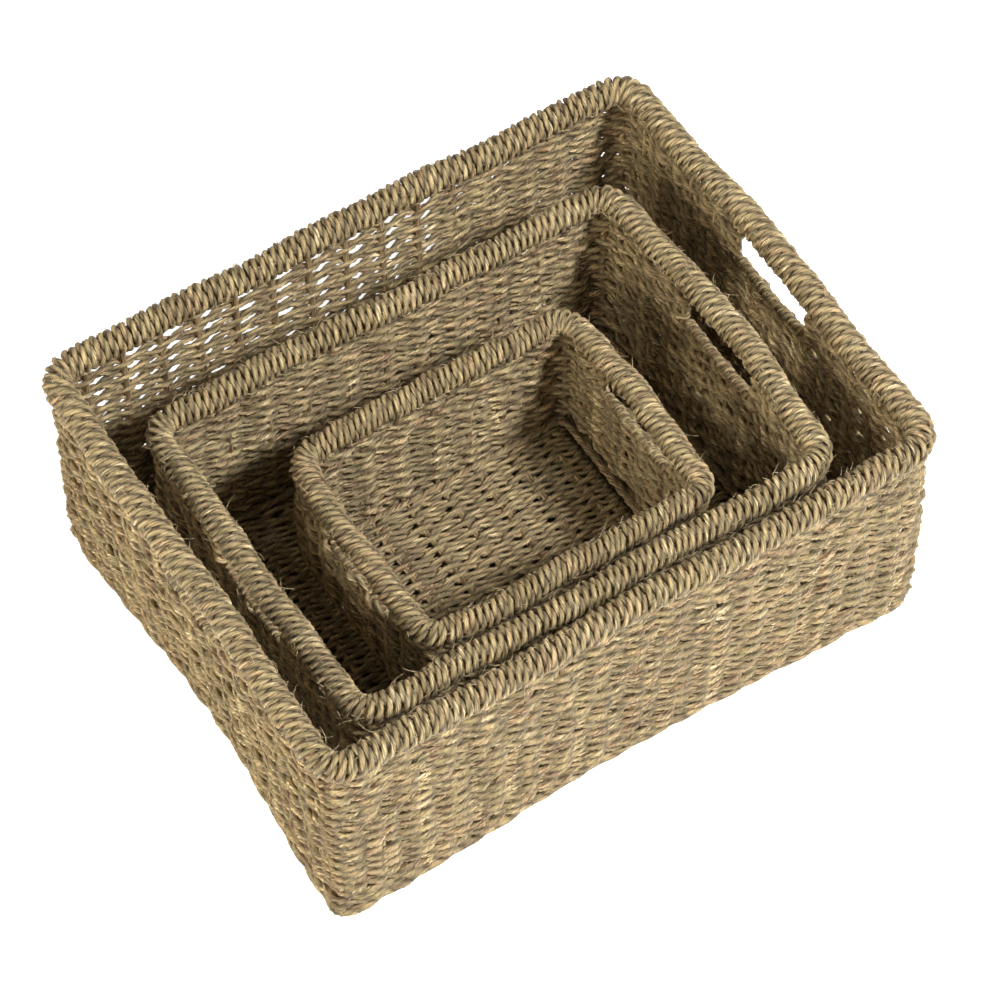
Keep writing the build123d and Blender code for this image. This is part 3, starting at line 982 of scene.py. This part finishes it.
def frame_pieces(plan):
    for level in ("rim", "base"):
        hoop_piece(plan, level, FINISHES["wire"])
    post_piece(plan, FINISHES["wire"])


def slot_edges(plan):
    for side in ("left", "right"):
        binding_piece(plan, side, FINISHES["wound"])


def base_and_rope(plan):
    base_piece(plan, FINISHES["woven"])
    braid_piece(plan, FINISHES["seam"])


def floor_material(colour, painted_shadow_edges):
    """A pale floor with a faint mottle, dark where the large basket covers it."""
    material = bpy.data.materials.new("pale floor")
    material.use_nodes = True
    tree = material.node_tree
    shader = tree.nodes["Principled BSDF"]
    shader.inputs["Roughness"].default_value = 0.9
    shader.inputs["Specular IOR Level"].default_value = 0.1
    place = tree.nodes.new("ShaderNodeTexCoord")
    noise = tree.nodes.new("ShaderNodeTexNoise")
    noise.inputs["Scale"].default_value = 6.0
    tree.links.new(place.outputs["Object"], noise.inputs["Vector"])
    across = tree.nodes.new("ShaderNodeSeparateXYZ")
    tree.links.new(place.outputs["Object"], across.inputs[0])
    # Painted shadow: inside the large basket's footprint the floor's emission is turned off, so
    # the floor is dark there.
    painted_shadow_sides = []
    for socket, edge in zip(across.outputs, painted_shadow_edges):
        inside = math_node(tree, "SUBTRACT", edge, math_node(tree, "ABSOLUTE", socket))
        painted_shadow_sides.append(math_node(tree, "MULTIPLY", inside, 100.0, clamp=True))
    painted_shadow_mask = math_node(tree, "MULTIPLY", *painted_shadow_sides)
    glow_and_painted_shadow = mix_colour(tree, painted_shadow_mask, (1.0, 1.0, 1.0, 1.0), (0.0, 0.0, 0.0, 1.0))
    tree.links.new(glow_and_painted_shadow, shader.inputs["Emission Color"])
    shader.inputs["Emission Strength"].default_value = FLOOR_GLOW
    shaded = tuple(0.99 * c for c in colour)
    tint = mix_colour(tree, noise.outputs["Fac"], (*shaded, 1.0), (*colour, 1.0))
    tree.links.new(tint, shader.inputs["Base Color"])
    return material


def soft_light(name, aim, place, size, power, colour):
    """A square area light that looks at a point."""
    data = bpy.data.lights.new(name, "AREA")
    data.color = colour
    data.size = size
    data.energy = power
    light = bpy.data.objects.new(name, data)
    light.location = place
    light.rotation_euler = (Vector(aim) - Vector(place)).to_track_quat("-Z", "Y").to_euler()
    bpy.context.scene.collection.objects.link(light)


class BASKET_OT_stage(bpy.types.Operator):
    """Set the floor, the lights and the camera"""
    bl_idname = "basket.stage"
    bl_label = "Set the stage"

    def execute(self, context):
        scene = context.scene
        low, high = (Vector(c) for c in CAD_BOX)
        middle = (low + high) / 2
        bpy.ops.object.select_all(action="DESELECT")
        bpy.ops.mesh.primitive_plane_add(
            size=FLOOR_SIZE, location=(middle.x, middle.y, low.z - FLOOR_GAP))
        floor = context.object
        floor.name = "floor"
        bpy.ops.object.transform_apply(location=True, rotation=False, scale=False)
        # Edges of the painted shadow on the floor under the large basket
        painted_shadow_edges = [side - PAINTED_SHADOW_INSET for side in PLANS["large"].half]
        floor.data.materials.append(floor_material(scene.basket_colours.floor, painted_shadow_edges))
        for name, place, size, power, colour in LIGHTS:
            soft_light(name, (middle.x, middle.y, LIGHT_AIM_Z), place, size, power, colour)
        world = bpy.data.worlds.new("studio")
        world.use_nodes = True
        world.node_tree.nodes["Background"].inputs[0].default_value = WORLD_COLOUR
        world.node_tree.nodes["Background"].inputs[1].default_value = WORLD_STRENGTH
        scene.world = world
        scene.view_settings.view_transform = "Standard"
        self.place_camera(scene, middle)
        return {"FINISHED"}

    def place_camera(self, scene, middle):
        azimuth, elevation, roll = (
            math.radians(v) for v in (CAMERA_AZIMUTH, CAMERA_ELEVATION, CAMERA_ROLL))
        back = Vector((math.sin(azimuth) * math.cos(elevation),
                       -math.cos(azimuth) * math.cos(elevation), math.sin(elevation)))
        aim = Vector((middle.x + CAMERA_AIM[0], middle.y + CAMERA_AIM[1], 0.0))
        right = (-back).cross(Vector((0, 0, 1))).normalized()
        up = right.cross(-back)
        right, up = (right * math.cos(roll) + up * math.sin(roll),
                     up * math.cos(roll) - right * math.sin(roll))
        data = bpy.data.cameras.new("camera")
        data.sensor_width = 36.0
        data.lens = CAMERA_LENS
        data.clip_end = 20.0
        camera = bpy.data.objects.new("camera", data)
        turn = Matrix((right, up, back)).transposed().to_4x4()
        camera.matrix_world = Matrix.Translation(aim + back * CAMERA_DISTANCE) @ turn
        scene.collection.objects.link(camera)
        scene.camera = camera


OPERATORS = (
    BASKET_OT_stage, BASKET_OT_finishes,
    basket_operator("hoops", "Bend the hoops",
                    "Bend the steel hoops of the frames and set their posts", frame_pieces),
    basket_operator("rims", "Wind the rims", "Wind the rims of the three baskets",
                    lambda plan: rim_piece(plan, FINISHES["wound"])),
    basket_operator("slot_edges", "Bind the slots", "Bind the lower edges of the hand slots",
                    slot_edges),
    basket_operator("walls", "Twine the walls", "Twine the walls",
                    lambda plan: wall_pieces(plan, FINISHES["woven"])),
    basket_operator("bases", "Twine the bases",
                    "Twine the bases and lay the rope along their seams", base_and_rope),
    basket_operator("stakes", "Set the stakes", "Set the stakes and warps",
                    lambda plan: stake_piece(plan, FINISHES["stake"])),
    basket_operator("fibres", "Leave stray fibres",
                    "Leave stray ends of grass on the rims and walls",
                    lambda plan: fibre_piece(plan, FINISHES["fibre"])),
)


class BASKET_PT_panel(bpy.types.Panel):
    """The sizes, colours and steps of the baskets"""
    bl_idname = "BASKET_PT_panel"
    bl_label = "Seagrass baskets"
    bl_space_type = "VIEW_3D"
    bl_region_type = "UI"
    bl_category = "Baskets"

    def draw(self, context):
        for group in (context.scene.basket_cords, context.scene.basket_colours):
            for name in group.bl_rna.properties.keys():
                if name not in {"rna_type", "name"}:
                    self.layout.prop(group, name)
        for operator in OPERATORS:
            self.layout.operator(operator.bl_idname)


CLASSES = (CordSettings, ColourSettings, *OPERATORS, BASKET_PT_panel)


def register():
    for cls in CLASSES:
        bpy.utils.register_class(cls)
    bpy.types.Scene.basket_cords = PointerProperty(type=CordSettings)
    bpy.types.Scene.basket_colours = PointerProperty(type=ColourSettings)


def unregister():
    del bpy.types.Scene.basket_colours
    del bpy.types.Scene.basket_cords
    for cls in reversed(CLASSES):
        bpy.utils.unregister_class(cls)


def main():
    register()
    for operator in OPERATORS:
        group, name = operator.bl_idname.split(".")
        getattr(getattr(bpy.ops, group), name)()


if __name__ == "__main__":
    main()
